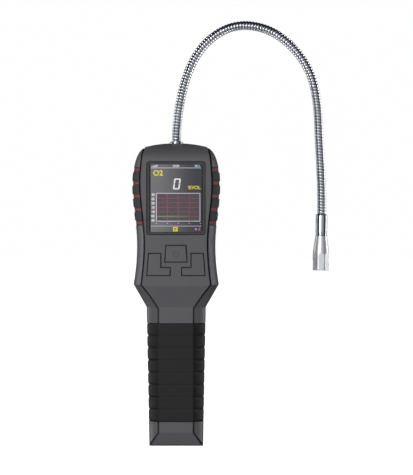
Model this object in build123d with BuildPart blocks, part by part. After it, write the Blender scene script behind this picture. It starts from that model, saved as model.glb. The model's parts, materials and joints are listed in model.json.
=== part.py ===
from build123d import *
import os
from math import atan2, cos, degrees, hypot, radians, sin, tan

# Portable gas detector with a gooseneck probe.
# Millimetres, +Z up the handle, the face looks along -Y, the neck arches over to +X.
# The origin is the middle of the flat end of the handle. "Depth" is the distance in front of
# the parting plane between the two covers, so a depth of 10 is at y = -10.

os.makedirs("parts", exist_ok=True)

# ------------------------------------------------------------------ driving sizes
# handle
handle_length = 101.0
handle_plate = 25.5          # width of the flat face
foot_bevel_width = 6.85      # bevel beside the face at the foot
throat_bevel_width = 8.8     # the same at the top of the handle
foot_bevel_height = 10.2
mitre_share = 0.86           # of the foot's corner line that the groove follows
cell_room = 0.95             # between the cell and the covers
sleeve_start = 18.0
sleeve_to_throat = 11.5
sleeve_thickness = 2.0
rib_count = 8
rib_notch = 1.1
rib_notch_depth = 0.7

# head
shoulder_length = 16.5
head_face = 18.0             # depth of the face
side_edge = 6.0              # depth at which the side wall turns into the bevel
bevel_curve = 1.7
bevel_width = 5.7
waist_rise = 30.5            # above the flare
waist_pinch = 3.3
flare_pinch = 1.0
belly_to_top = 30.0
top_crown = 2.9
top_roll = 13.0
groove_width = 1.2
groove_depth = 1.2
wall = 2.4

# keys and lamp, heights above the flare
lamp_rise = 8.8
lamp_radius = 0.9
lamp_flange = 1.7
key_rise = 6.7
corner_key_height = 15.6
corner_key_foot = 5.4
corner_key_inner = 11.1
corner_key_toe = 4.4
key_lean = 1.2               # how much further out the keys reach at the bottom
key_inset = 0.5              # outer corner of the lower keys inside the window's side
power_key_rise = 16.5
power_key_height = 11.6
power_key_width = 14.0
key_gap = 0.6
key_lip = 0.8
key_proud = 0.3
key_travel = 0.8
key_flange = 0.9
key_stem = 0.8
mat_thickness = 1.2
key_board_thickness = 1.2

# window and display
keys_to_window = 7.7
window_width = 42.6
window_height = 53.1
window_radius = 2.0
window_to_top = 13.6
window_to_groove = 4.8
window_gap = 0.6
window_recess = 0.5
bezel_width = 1.2
bezel_lip = 1.2
glass_recess = 0.25
glass_thickness = 1.2
panel_thickness = 2.4
tray_thickness = 1.0

# side bands
band_height = 3.8
band_pitch = 9.65
band_count = 5
band_offset = 1.5            # middle band above the middle of the window
band_recess = 0.35
band_thickness = 0.7
pad_proud = 0.2

# inside
seal_width = 0.7
seal_height = 0.9
board_depth = 4.2
board_thickness = 1.6
board_margin = 6.0
cell_diameter = 18.3
cell_length = 65.0
cell_rise = 22.0
cradle_plate = 1.3
lead_radius = 0.8
boss_radius = 2.9
well_radius = 2.8
well_wall = 1.2
screw_radius = 1.45
screw_head_radius = 2.6
screw_head_height = 1.8
screw_seat = 6.0             # depth behind the parting plane
screw_length = 15.0
buzzer_radius = 6.5
buzzer_height = 3.5
motor_radius = 5.0
motor_height = 3.0

# charging port
port_offset = 9.0
port_width = 9.0
port_height = 3.3
port_depth = 7.0
flap_length = 12.6
flap_width = 6.8
flap_thickness = 1.2
flap_hinge = 0.6             # radius of the rounded hinge end

# neck
neck_diameter = 6.7
neck_length = 276.0
neck_turns = (8, 8, 17.5, 27.5, 36, 28.5, 20.5, 22.5, 9.5, -1.5, 1.5, 3)
side_bends = (1, 5, 9)       # runs, counted from the casing, that also bend sideways
ball_inset = 0.35            # ball below the outside of the neck
ball_clearance = 0.08
ball_gap = 1.5
wire_bore = 1.4
collar_step = 0.6            # collar beyond the barrel
collar_height = 1.4
barrel_wall = 0.85
barrel_length = 7.4
nut_wall = 1.3
nut_height = 3.4
nut_drop = 0.8               # below the roof at its middle, where the roof starts to curve

# probe
ferrule_wall = 0.85
ferrule_length = 15.9
ferrule_grip = 8.0
spigot_radius = 3.1
spigot_length = 4.8
cap_flare = 1.9              # mouth beyond the top of the cone
cap_step = 0.05              # cap beyond the ferrule
cap_length = 25.2
cap_cone = 13.8
cap_wall = 1.15
flute_count = 8
flute_depth = 0.34
inlet_radius = 4.0
inlet_lip = 2.5
mesh_thickness = 0.5
cell_face_radius = 4.6
sensor_height = 8.0

# clearances
fit = 0.05
slip = 0.25

# ------------------------------------------------------------------ worked-out sizes
flare_z = handle_length + shoulder_length
lamp_z = flare_z + lamp_rise
key_z = flare_z + key_rise
power_key_z = flare_z + power_key_rise
window_z = power_key_z + power_key_height + keys_to_window
window_top = window_z + window_height
window_middle = window_z + window_height / 2
top_z = window_top + window_to_top
belly_z = top_z - belly_to_top
plate_half = window_width / 2 + window_to_groove
belly_half = plate_half + bevel_width
sleeve_end = handle_length - sleeve_to_throat
rib_pitch = (sleeve_end - sleeve_start) / rib_count
inner_bay = sleeve_thickness + wall
seal_cover = band_recess + band_thickness + 2 * fit
throat_half = handle_plate / 2 + throat_bevel_width
seal_jog = throat_half - seal_cover - (sleeve_thickness + seal_width) / 2
seal_bridge = sleeve_thickness + seal_width
bay_step = sleeve_end + wall
inside_face = head_face - wall
reach = 2 * belly_half
neck_radius = neck_diameter / 2
ball_radius = neck_radius - ball_inset
barrel_radius = neck_radius + barrel_wall
collar_radius = barrel_radius + collar_step
nut_flats = 2 * (barrel_radius + nut_wall)
ferrule_radius = neck_radius + ferrule_wall
cap_top_radius = ferrule_radius + cap_step
cap_mouth_radius = cap_top_radius + cap_flare
handle_face = cell_diameter / 2 + cell_room + sleeve_thickness + wall
end_align = (Align.CENTER, Align.CENTER, Align.MIN)

# the outline's corners: (half width, height), on the side wall and at the edge of the face
foot_wall = (handle_plate / 2 + foot_bevel_width, 0.0)
foot_plate = (handle_plate / 2, foot_bevel_height)
mitre_turn = degrees(atan2(foot_bevel_height, foot_bevel_width))
mitre_run = mitre_share * hypot(foot_bevel_width, foot_bevel_height)
mitre_middle = (
    foot_plate[0] + mitre_share * foot_bevel_width / 2,
    foot_plate[1] - mitre_share * foot_bevel_height / 2,
)
throat_wall = (handle_plate / 2 + throat_bevel_width, handle_length)
throat_plate = (handle_plate / 2, handle_length - 1.0)
flare_wall = (belly_half - flare_pinch + 0.2, flare_z)
flare_plate = (plate_half - flare_pinch, flare_z - 0.2)
waist_wall = (belly_half - waist_pinch, flare_z + waist_rise)
waist_plate = (plate_half - waist_pinch, flare_z + waist_rise + 2.0)
belly_wall = (belly_half, belly_z)
belly_plate = (plate_half, belly_z)
brow_wall = (belly_half - 2.3, top_z - 12.5)
brow_plate = (plate_half - 0.9, top_z - 14.0)
temple_wall = (belly_half - 5.4, top_z - 6.0)
temple_plate = (plate_half - 2.1, top_z - 7.0)
crown_wall = (belly_half - 9.8, top_z - top_crown)
crown_plate = (plate_half - 4.4, top_z - top_crown)


# ------------------------------------------------------------------ casing form
def bevel_share(depth, face):
    """1 on the side wall, falling along a power curve to 0 at the edge of the face."""
    run = max(0.0, depth - side_edge) / (face - side_edge)
    return max(1.0 - run ** bevel_curve, -1.0)


def outline_corner(wall_point, plate_point, share, inset, lift=0.0):
    """Corner of the outline between the side wall and the face's edge, moved in by an inset."""
    half, height = (p + (w - p) * share for w, p in zip(wall_point, plate_point))
    return (half - inset * (0.4 + 0.6 * max(share, 0.0)), height + lift)


def casing_outline(depth, inset):
    """Closed outline of the casing at one depth, moved in by an inset."""
    head = bevel_share(depth, head_face - inset)
    handle = bevel_share(depth, handle_face - inset)
    foot = outline_corner(foot_wall, foot_plate, handle, inset, inset)
    throat = outline_corner(throat_wall, throat_plate, handle, inset)
    flare = outline_corner(flare_wall, flare_plate, head, inset)
    waist = outline_corner(waist_wall, waist_plate, head, inset)
    belly = outline_corner(belly_wall, belly_plate, head, inset)
    brow = outline_corner(brow_wall, brow_plate, head, inset)
    temple = outline_corner(temple_wall, temple_plate, head, inset, -0.5 * inset)
    crown = outline_corner(crown_wall, crown_plate, head, inset, -inset)
    Polyline((0, foot[1]), foot, throat, flare)
    Spline(flare, waist, belly, brow, temple, crown, tangents=[(-0.16, 1), (-1, 0.28)])
    TangentArc((0, top_z - inset), crown, tangent=(1, 0))
    mirror(about=Plane.YZ)


def side_profile(inset):
    """The casing's front half from the side: handle face, ramp, head face and rolled top."""
    handle = -(handle_face - inset)
    head = -(head_face - inset)
    roll_z = top_z - top_roll
    roll = top_roll - inset
    turn = radians(80)
    roll_end = (head + roll * (1 - cos(turn)), roll_z + roll * sin(turn))
    roll_middle = (head + roll * (1 - cos(turn / 2)), roll_z + roll * sin(turn / 2))
    rise = roll_end[1] - roll_end[0] * tan(radians(10))
    Polyline((0, -5), (handle, -5), (handle, handle_length), (head, flare_z - 1.2), (head, roll_z))
    ThreePointArc((head, roll_z), roll_middle, roll_end)
    Polyline(roll_end, (0, rise), (0, -5))


def half_form(inset):
    """Front half of the casing's form, moved in by an inset. The back half is its mirror image."""
    steps = 4
    face = head_face - inset
    with BuildPart() as form:
        with BuildSketch(Plane.XZ):
            with BuildLine():
                casing_outline(0, inset)
            make_face()
        extrude(amount=side_edge)
        for step in range(steps + 1):
            depth = side_edge + (face - side_edge) * step / steps
            with BuildSketch(Plane.XZ.offset(depth)):
                with BuildLine():
                    casing_outline(depth, inset)
                make_face()
        loft()
        with BuildSketch(Plane.YZ):
            with BuildLine():
                side_profile(inset)
            make_face()
        extrude(amount=reach, both=True, mode=Mode.INTERSECT)
    return form.part


def both_halves(half):
    """A front half joined to its mirror image behind the parting plane."""
    with BuildPart() as whole:
        add(half)
        mirror(about=Plane.XZ)
    return whole.part


def slab(low, high):
    """A block across the whole width between two heights."""
    with BuildPart(Plane.XY.offset(low)) as block:
        Box(2 * reach, 2 * reach, high - low, align=end_align)
    return block.part


outer_half = half_form(0)
outer_whole = both_halves(outer_half)
groove_floor_half = half_form(groove_depth)
handle_core = both_halves(half_form(sleeve_thickness))
sleeve_inside = both_halves(half_form(sleeve_thickness - fit))
notch_floor = both_halves(half_form(rib_notch_depth))
inlay_front = both_halves(half_form(band_recess))
inlay_back = both_halves(half_form(band_recess + band_thickness))
pad_front = both_halves(half_form(-pad_proud))
screw_limit = both_halves(groove_floor_half)

with BuildPart() as bay:
    add(both_halves(half_form(wall)))
    add(slab(bay_step, top_z), mode=Mode.INTERSECT)
    add(both_halves(half_form(inner_bay)))

with BuildPart() as sleeve_space:
    add(slab(sleeve_start, sleeve_end))
    add(handle_core, mode=Mode.SUBTRACT)


# ------------------------------------------------------------------ groove round the face
def face_outline(spread):
    """Edge of the face as it is seen from the front, moved out by a spread and closed above the top."""
    foot = (foot_plate[0] + spread, foot_plate[1] - spread)
    throat = (throat_plate[0] + spread, throat_plate[1] - spread / 2)
    ramp_middle = (
        (throat_plate[0] + flare_plate[0]) / 2 - 0.5 + 1.2 * spread,
        (throat_plate[1] + flare_plate[1]) / 2,
    )
    flare = (flare_plate[0] + spread, flare_plate[1] - spread / 4)
    waist = (waist_plate[0] + spread, waist_plate[1])
    belly = (belly_plate[0] + spread, belly_plate[1])
    brow = (brow_plate[0] + spread, brow_plate[1])
    temple = (temple_plate[0] + spread, temple_plate[1])
    Polyline((0, foot[1]), foot, throat, ramp_middle, flare)
    Spline(flare, waist, belly, brow, temple, tangents=[(-0.12, 1), (-0.35, 1)])
    Polyline(temple, (crown_plate[0] + spread, top_z + wall), (0, top_z + wall))
    mirror(about=Plane.YZ)


with BuildPart() as groove_cut:
    with BuildSketch(Plane.XZ):
        with BuildLine():
            face_outline(groove_width / 2)
        make_face()
        with BuildLine():
            face_outline(-groove_width / 2)
        make_face(mode=Mode.SUBTRACT)
        with Locations((0, foot_bevel_height)):
            Rectangle(handle_plate - groove_width, 2 * groove_width, mode=Mode.SUBTRACT)
        with Locations((mitre_middle[0], mitre_middle[1])):
            Rectangle(mitre_run, groove_width, rotation=-mitre_turn)
        with Locations((-mitre_middle[0], mitre_middle[1])):
            Rectangle(mitre_run, groove_width, rotation=mitre_turn)
    extrude(amount=reach)
    add(groove_floor_half, mode=Mode.SUBTRACT)


# ------------------------------------------------------------------ seal between the covers
with BuildPart() as cover_seal:
    with BuildSketch(Plane.XZ):
        with BuildLine():
            casing_outline(0, seal_cover)
        make_face()
        with BuildLine():
            casing_outline(0, seal_cover + seal_width)
        make_face(mode=Mode.SUBTRACT)
        with Locations((0, bay_step - wall / 2)):
            Rectangle(2 * reach, 2 * reach, align=(Align.CENTER, Align.MAX), mode=Mode.SUBTRACT)
    extrude(amount=seal_height / 2, both=True)
    with BuildSketch(Plane.XZ):
        with BuildLine():
            casing_outline(0, sleeve_thickness + seal_cover)
        make_face()
        with BuildLine():
            casing_outline(0, sleeve_thickness + seal_cover + seal_width)
        make_face(mode=Mode.SUBTRACT)
        with Locations((0, bay_step - wall / 2)):
            Rectangle(2 * reach, 2 * reach, align=(Align.CENTER, Align.MIN), mode=Mode.SUBTRACT)
    extrude(amount=seal_height / 2, both=True)
    with BuildSketch(Plane.XZ):
        with Locations((seal_jog, bay_step - wall / 2), (-seal_jog, bay_step - wall / 2)):
            Rectangle(seal_bridge, seal_width)
    extrude(amount=seal_height / 2, both=True)
    with Locations((0, 0, top_z)):
        Cylinder(collar_radius + seal_width, 4 * wall, mode=Mode.SUBTRACT)
    with Locations((port_offset, 0, 0)):
        Box(port_width + 4, 2 * wall, 4 * wall, mode=Mode.SUBTRACT)
cover_seal.part.label = "cover_seal"
export_step(cover_seal.part, "parts/cover_seal.step")


# ------------------------------------------------------------------ side bands and pads
band_z = [
    window_middle + band_offset + band_pitch * (n - (band_count - 1) / 2) for n in range(band_count)
]
inlay_low = band_z[0] - band_height / 2
inlay_high = band_z[-1] + band_height / 2


def beside_face(low, high):
    """The zone outside the groove on the +X side, between two heights."""
    margin = groove_width / 2
    with BuildPart() as zone:
        with BuildSketch(Plane.XZ):
            with BuildLine():
                edge = Spline(
                    (waist_plate[0] + margin, waist_plate[1]),
                    (belly_plate[0] + margin, belly_plate[1]),
                    (brow_plate[0] + margin, brow_plate[1]),
                    tangents=[(0.02, 1), (-0.12, 1)],
                )
                Polyline(edge @ 1, (reach, (edge @ 1).Y), (reach, (edge @ 0).Y), edge @ 0)
            make_face()
        extrude(amount=reach, both=True)
        add(slab(low, high), mode=Mode.INTERSECT)
    return zone.part


with BuildPart() as side_pockets:
    add(beside_face(inlay_low, inlay_high))
    add(inlay_back, mode=Mode.SUBTRACT)
    mirror(about=Plane.YZ)

with BuildPart() as right_band:
    add(beside_face(inlay_low + fit, inlay_high - fit))
    add(inlay_front, mode=Mode.INTERSECT)
    add(inlay_back, mode=Mode.SUBTRACT)
right_band.part.label = "right_band"
export_step(right_band.part, "parts/right_band.step")

with BuildPart() as left_band:
    add(right_band.part)
    mirror(about=Plane.YZ, mode=Mode.REPLACE)
left_band.part.label = "left_band"
export_step(left_band.part, "parts/left_band.step")

with BuildPart() as right_pads:
    for n in range(band_count - 1):
        add(beside_face(band_z[n] + band_height / 2, band_z[n + 1] - band_height / 2))
    add(pad_front, mode=Mode.INTERSECT)
    add(inlay_front, mode=Mode.SUBTRACT)
right_pads.part.label = "right_pads"
export_step(right_pads.part, "parts/right_pads.step")

with BuildPart() as left_pads:
    add(right_pads.part)
    mirror(about=Plane.YZ, mode=Mode.REPLACE)
left_pads.part.label = "left_pads"
export_step(left_pads.part, "parts/left_pads.step")


# ------------------------------------------------------------------ keys
def power_key_outline(spread):
    """The middle key, a little wider at the bottom, grown by a spread."""
    bottom = power_key_z - spread
    top = power_key_z + power_key_height + spread
    wide = (power_key_width + 1.8) / 2 + spread
    narrow = power_key_width / 2 + spread
    Polyline((-wide, bottom), (wide, bottom), (narrow, top), (-narrow, top), close=True)


def right_key_outline(spread):
    """The right-hand L-shaped key, grown by a spread."""
    outer_low = window_width / 2 - key_inset + spread
    outer_high = window_width / 2 - key_inset - key_lean + spread
    inner = corner_key_inner - spread
    toe = corner_key_toe - spread
    bottom = key_z - spread
    step = key_z + corner_key_foot + spread
    top = key_z + corner_key_height + spread
    Polyline(
        (toe, bottom),
        (outer_low, bottom),
        (outer_high, top),
        (inner, top),
        (inner, step),
        (toe, step),
        close=True,
    )


key_front = head_face + key_proud
key_flange_front = inside_face - fit
key_flange_back = key_flange_front - key_flange
key_back = key_flange_back - key_stem
mat_front = key_back - key_travel - 2 * fit
mat_back = mat_front - mat_thickness
key_board_front = mat_back - fit
key_board_back = key_board_front - key_board_thickness


def key_body(outline):
    """A key cap through the cover, the flange that keeps it in, and the stem behind it."""
    with BuildPart() as key:
        with BuildSketch(Plane.XZ.offset(key_flange_back)):
            with BuildLine():
                outline(0)
            make_face()
        extrude(amount=key_front - key_flange_back)
        chamfer(key.faces().sort_by(Axis.Y)[0].edges(), length=0.3)
        with BuildSketch(Plane.XZ.offset(key_flange_back)):
            with BuildLine():
                outline(key_gap + key_lip)
            make_face()
        extrude(amount=key_flange)
        with BuildSketch(Plane.XZ.offset(key_back)):
            with BuildLine():
                outline(-1.0)
            make_face()
        extrude(amount=key_stem)
    return key.part


with BuildPart() as power_key:
    add(key_body(power_key_outline))
power_key.part.label = "power_key"
export_step(power_key.part, "parts/power_key.step")

with BuildPart() as right_key:
    add(key_body(right_key_outline))
right_key.part.label = "right_key"
export_step(right_key.part, "parts/right_key.step")

with BuildPart() as left_key:
    add(right_key.part)
    mirror(about=Plane.YZ, mode=Mode.REPLACE)
left_key.part.label = "left_key"
export_step(left_key.part, "parts/left_key.step")

# one sheet behind all three keys, with clear holes for the lamp and the pegs
mat_half = waist_plate[0] - 2.5
mat_low = key_z - 0.5
mat_high = power_key_z + power_key_height + 2.0
peg_radius = 1.4
peg_places = [(side * (mat_half - 2.4), mat_high - 2.4) for side in (-1, 1)]

with BuildPart() as key_mat:
    with BuildSketch(Plane.XZ.offset(mat_back)):
        with Locations((0, mat_low)):
            Rectangle(2 * mat_half, mat_high - mat_low, align=(Align.CENTER, Align.MIN))
        with Locations((0, lamp_z)):
            Circle(lamp_flange + slip, mode=Mode.SUBTRACT)
        with Locations(*peg_places):
            Circle(peg_radius + slip, mode=Mode.SUBTRACT)
    extrude(amount=mat_thickness)
key_mat.part.label = "key_mat"
export_step(key_mat.part, "parts/key_mat.step")

with BuildPart() as key_board:
    with BuildSketch(Plane.XZ.offset(key_board_back)):
        with Locations((0, mat_low - 1)):
            Rectangle(2 * mat_half, mat_high - mat_low + 2, align=(Align.CENTER, Align.MIN))
    extrude(amount=key_board_thickness)
key_board.part.label = "key_board"
export_step(key_board.part, "parts/key_board.step")

with BuildPart() as status_lamp:
    with BuildSketch(Plane.XZ.offset(key_board_front + fit)):
        with Locations((0, lamp_z)):
            Circle(lamp_radius)
    extrude(amount=head_face + 0.1 - key_board_front - fit)
    with BuildSketch(Plane.XZ.offset(inside_face - 1.0)):
        with Locations((0, lamp_z)):
            Circle(lamp_flange)
    extrude(amount=1.0 - fit)
status_lamp.part.label = "status_lamp"
export_step(status_lamp.part, "parts/status_lamp.step")


# ------------------------------------------------------------------ window and display
bezel_front = head_face - window_recess
bezel_back = inside_face - 1.6
glass_front = bezel_front - glass_recess
glass_back = glass_front - glass_thickness
panel_front = glass_back - fit
panel_back = panel_front - panel_thickness
tray_front = panel_back - fit
tray_back = tray_front - tray_thickness
bezel_outer_width = window_width - 2 * window_gap
bezel_outer_height = window_height - 2 * window_gap
glass_width = bezel_outer_width - 2 * bezel_width
glass_height = bezel_outer_height - 2 * bezel_width

with BuildPart() as screen_bezel:
    with BuildSketch(Plane.XZ.offset(bezel_back)):
        with Locations((0, window_middle)):
            RectangleRounded(bezel_outer_width, bezel_outer_height, window_radius - window_gap)
    extrude(amount=bezel_front - bezel_back)
    with BuildSketch(Plane.XZ.offset(bezel_back)):
        with Locations((0, window_middle)):
            Rectangle(bezel_outer_width, bezel_outer_height + 2 * (window_gap + bezel_lip))
    extrude(amount=inside_face - fit - bezel_back)
    with BuildSketch(Plane.XZ.offset(bezel_back)):
        with Locations((0, window_middle)):
            Rectangle(glass_width, glass_height)
    extrude(amount=head_face, mode=Mode.SUBTRACT)
screen_bezel.part.label = "screen_bezel"
export_step(screen_bezel.part, "parts/screen_bezel.step")

with BuildPart() as screen_glass:
    with BuildSketch(Plane.XZ.offset(glass_back)):
        with Locations((0, window_middle)):
            Rectangle(glass_width - 2 * fit, glass_height - 2 * fit)
    extrude(amount=glass_thickness)
screen_glass.part.label = "screen_glass"
export_step(screen_glass.part, "parts/screen_glass.step")

with BuildPart() as display_panel:
    with BuildSketch(Plane.XZ.offset(panel_back)):
        with Locations((0, window_middle)):
            Rectangle(glass_width - 4 * fit, glass_height - 4 * fit)
    extrude(amount=panel_thickness)
display_panel.part.label = "display_panel"
export_step(display_panel.part, "parts/display_panel.step")

with BuildPart() as display_tray:
    with BuildSketch(Plane.XZ.offset(tray_back)):
        with Locations((0, window_middle)):
            Rectangle(bezel_outer_width, bezel_outer_height)
    extrude(amount=tray_thickness)
    with BuildSketch(Plane.XZ.offset(tray_front)):
        with Locations((0, window_middle)):
            Rectangle(bezel_outer_width, bezel_outer_height)
            Rectangle(glass_width, glass_height, mode=Mode.SUBTRACT)
    extrude(amount=bezel_back - tray_front - fit)
display_tray.part.label = "display_tray"
export_step(display_tray.part, "parts/display_tray.step")


# ------------------------------------------------------------------ covers
top_screw = (belly_half - 9.8, window_top + bezel_lip + boss_radius + 1.0)
flare_screw = (flare_plate[0] - 0.4, flare_z + 1.7)
throat_screw = (foot_plate[0], bay_step + boss_radius)
screw_places = [(side * x, z) for x, z in (top_screw, flare_screw, throat_screw) for side in (-1, 1)]
roof_hole = barrel_radius + fit
post_heights = (flare_z + 13, window_top - 6)
post_places = [(side * (window_width / 2 - 3.0), z) for z in post_heights for side in (-1, 1)]
post_radius = 2.4
post_hole = 1.05

# what both covers are cut for: neck gland, charging port and flap
with BuildPart() as shared_cuts:
    with Locations((0, 0, top_z - 3 * wall)):
        Cylinder(roof_hole, 6 * wall, align=end_align)
    with Locations((0, 0, top_z - 0.6)):
        Cylinder(collar_radius + fit, 4.0, align=end_align)
    with Locations((port_offset, 0, 0)):
        Box(port_width + 0.5, port_height + 0.5, 2 * (port_depth + 1))
    with Locations((port_offset, 0, 0)):
        Box(flap_length + 2 * slip, flap_width + 2 * slip, 2 * (flap_thickness + fit))
    add(cover_seal.part)
    add(sleeve_space.part)
    add(side_pockets.part)

with BuildPart() as front_bosses:
    with BuildSketch(Plane.XZ):
        with Locations(*screw_places):
            Circle(boss_radius)
    extrude(amount=head_face)
    add(groove_floor_half, mode=Mode.INTERSECT)
    with BuildSketch(Plane.XZ.offset(key_board_front)):
        with Locations(*peg_places):
            Circle(peg_radius)
    extrude(amount=inside_face + 0.2 - key_board_front)
    with BuildSketch(Plane.XZ):
        with Locations(*screw_places):
            Circle(screw_radius + fit)
    extrude(amount=screw_length - screw_seat + 1.0, mode=Mode.SUBTRACT)

with BuildPart() as front_cover:
    add(outer_half)
    add(bay.part, mode=Mode.SUBTRACT)
    add(front_bosses.part)
    add(groove_cut.part, mode=Mode.SUBTRACT)
    add(shared_cuts.part, mode=Mode.SUBTRACT)
    with BuildSketch(Plane.XZ.offset(inside_face - 0.5)):
        with Locations((0, window_middle)):
            RectangleRounded(window_width, window_height, window_radius)
        with BuildLine():
            power_key_outline(key_gap)
        make_face()
        with BuildLine():
            right_key_outline(key_gap)
        make_face()
        mirror(about=Plane.YZ)
        with Locations((0, lamp_z)):
            Circle(lamp_radius + fit)
    extrude(amount=wall + 1.0, mode=Mode.SUBTRACT)
front_cover.part.label = "front_cover"
export_step(front_cover.part, "parts/front_cover.step")

with BuildPart() as back_bosses:
    with BuildSketch(Plane.XZ):
        with Locations(*screw_places):
            Circle(well_radius + well_wall)
    extrude(amount=-head_face)
    with BuildSketch(Plane.XZ):
        with Locations(*post_places):
            Circle(post_radius)
    extrude(amount=-head_face)
    add(screw_limit, mode=Mode.INTERSECT)
    with BuildSketch(Plane.XZ.offset(board_depth - board_thickness)):
        with Locations(*post_places):
            Circle(post_radius)
    extrude(amount=-(board_depth - board_thickness))
    with BuildSketch(Plane.XZ.offset(board_depth)):
        with Locations(*post_places):
            Circle(post_hole)
    extrude(amount=-12.0, mode=Mode.SUBTRACT)

with BuildPart() as back_cover:
    add(outer_half)
    mirror(about=Plane.XZ, mode=Mode.REPLACE)
    add(bay.part, mode=Mode.SUBTRACT)
    add(back_bosses.part)
    add(shared_cuts.part, mode=Mode.SUBTRACT)
    with BuildSketch(Plane.XZ):
        with Locations(*screw_places):
            Circle(screw_radius + slip)
    extrude(amount=-head_face, mode=Mode.SUBTRACT)
    with BuildSketch(Plane.XZ.offset(-screw_seat)):
        with Locations(*screw_places):
            Circle(well_radius)
    extrude(amount=-head_face, mode=Mode.SUBTRACT)
    with BuildSketch(Plane.XZ.offset(0.6 - head_face)):
        with Locations((0, window_z + 6)):
            RectangleRounded(window_width - 8, 26.0, 1.5)
    extrude(amount=-2.0, mode=Mode.SUBTRACT)
    with BuildSketch(Plane.XZ.offset(-inside_face + 0.5)):
        with GridLocations(3.0, 0, 5, 1):
            with Locations((0, window_top - 14)):
                SlotOverall(9.0, 1.2, rotation=90)
    extrude(amount=-wall - 1.0, mode=Mode.SUBTRACT)
back_cover.part.label = "back_cover"
export_step(back_cover.part, "parts/back_cover.step")


# ------------------------------------------------------------------ grip sleeve
with BuildPart() as notch_rings:
    for n in range(1, rib_count):
        notch_middle = sleeve_start + n * rib_pitch
        add(slab(notch_middle - rib_notch / 2, notch_middle + rib_notch / 2))
    add(notch_floor, mode=Mode.SUBTRACT)

with BuildPart() as grip_sleeve:
    add(outer_whole)
    add(slab(sleeve_start + fit, sleeve_end - fit), mode=Mode.INTERSECT)
    add(notch_rings.part, mode=Mode.SUBTRACT)
    add(sleeve_inside, mode=Mode.SUBTRACT)
grip_sleeve.part.label = "grip_sleeve"
export_step(grip_sleeve.part, "parts/grip_sleeve.step")


# ------------------------------------------------------------------ screws
with BuildPart() as case_screws:
    with BuildSketch(Plane.XZ.offset(screw_length - screw_seat)):
        with Locations(*screw_places):
            Circle(screw_radius)
    extrude(amount=-screw_length)
    with BuildSketch(Plane.XZ.offset(-screw_seat - fit)):
        with Locations(*screw_places):
            Circle(screw_head_radius)
    extrude(amount=-screw_head_height)
    with BuildSketch(Plane.XZ.offset(-screw_seat - screw_head_height - fit)):
        with Locations(*screw_places):
            Rectangle(2.6, 0.6)
            Rectangle(0.6, 2.6)
    extrude(amount=1.0, mode=Mode.SUBTRACT)
case_screws.part.label = "case_screws"
export_step(case_screws.part, "parts/case_screws.step")

with BuildPart() as board_screws:
    with BuildSketch(Plane.XZ.offset(board_depth + fit)):
        with Locations(*post_places):
            Circle(2.0)
    extrude(amount=1.4)
    with BuildSketch(Plane.XZ.offset(board_depth + fit)):
        with Locations(*post_places):
            Circle(post_hole - fit)
    extrude(amount=-7.0)
board_screws.part.label = "board_screws"
export_step(board_screws.part, "parts/board_screws.step")


# ------------------------------------------------------------------ main board
board_half = window_width / 2 + 0.5
board_low = post_places[0][1] - board_margin
board_high = post_places[2][1] + board_margin
connector_height = 6.0
battery_plug = (-8.0, board_low + connector_height / 2 + 0.5)
sensor_plug = (8.0, board_high - 22.0)
board_front = board_depth
board_back = board_depth - board_thickness

with BuildPart() as main_board:
    with BuildSketch(Plane.XZ.offset(board_back)):
        with Locations((0, board_low)):
            Rectangle(2 * board_half, board_high - board_low, align=(Align.CENTER, Align.MIN))
        with Locations(*post_places):
            Circle(post_hole + fit, mode=Mode.SUBTRACT)
    extrude(amount=board_thickness)
main_board.part.label = "main_board"
export_step(main_board.part, "parts/main_board.step")

with BuildPart() as board_chips:
    with BuildSketch(Plane.XZ.offset(board_front)):
        with Locations((0, window_middle - 6)):
            Rectangle(12, 12)
        with Locations((-13, window_middle + 10)):
            Rectangle(6, 9)
        with Locations((12, window_middle + 12)):
            Rectangle(7, 7)
        with Locations((11, window_middle - 16)):
            Rectangle(9, 5)
    extrude(amount=1.4)
board_chips.part.label = "board_chips"
export_step(board_chips.part, "parts/board_chips.step")

with BuildPart() as board_plugs:
    with BuildSketch(Plane.XZ.offset(board_front)):
        with Locations(battery_plug):
            Rectangle(8.0, connector_height)
    extrude(amount=4.0)
    with BuildSketch(Plane.XZ.offset(board_back)):
        with Locations(sensor_plug):
            Rectangle(7.0, connector_height)
    extrude(amount=-4.0)
board_plugs.part.label = "board_plugs"
export_step(board_plugs.part, "parts/board_plugs.step")


# ------------------------------------------------------------------ battery
cell_radius = cell_diameter / 2
cell_top = cell_rise + cell_length
cradle_half = foot_plate[0] - 3.0

with BuildPart(Plane.XY.offset(cell_rise)) as battery_cell:
    Cylinder(cell_radius, cell_length, align=end_align)
    fillet(battery_cell.edges(), radius=1.0)
    with Locations((0, 0, cell_length)):
        Cylinder(2.8, 0.6, align=end_align)
battery_cell.part.label = "battery_cell"
export_step(battery_cell.part, "parts/battery_cell.step")

with BuildPart() as battery_cradle:
    for low in (cell_rise - cradle_plate - fit, cell_top + 0.6 + fit):
        with BuildSketch(Plane.XY.offset(low)):
            with Locations((0, 0.4)):
                Rectangle(2 * cradle_half, 2 * cell_radius)
        extrude(amount=cradle_plate)
    with BuildSketch(Plane.XZ.offset(-cell_radius - fit)):
        with Locations((0, cell_rise - cradle_plate - fit)):
            Rectangle(
                cell_radius, cell_length + 0.6 + 2 * (cradle_plate + fit), align=(Align.CENTER, Align.MIN)
            )
    extrude(amount=-0.5)
battery_cradle.part.label = "battery_cradle"
export_step(battery_cradle.part, "parts/battery_cradle.step")


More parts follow.
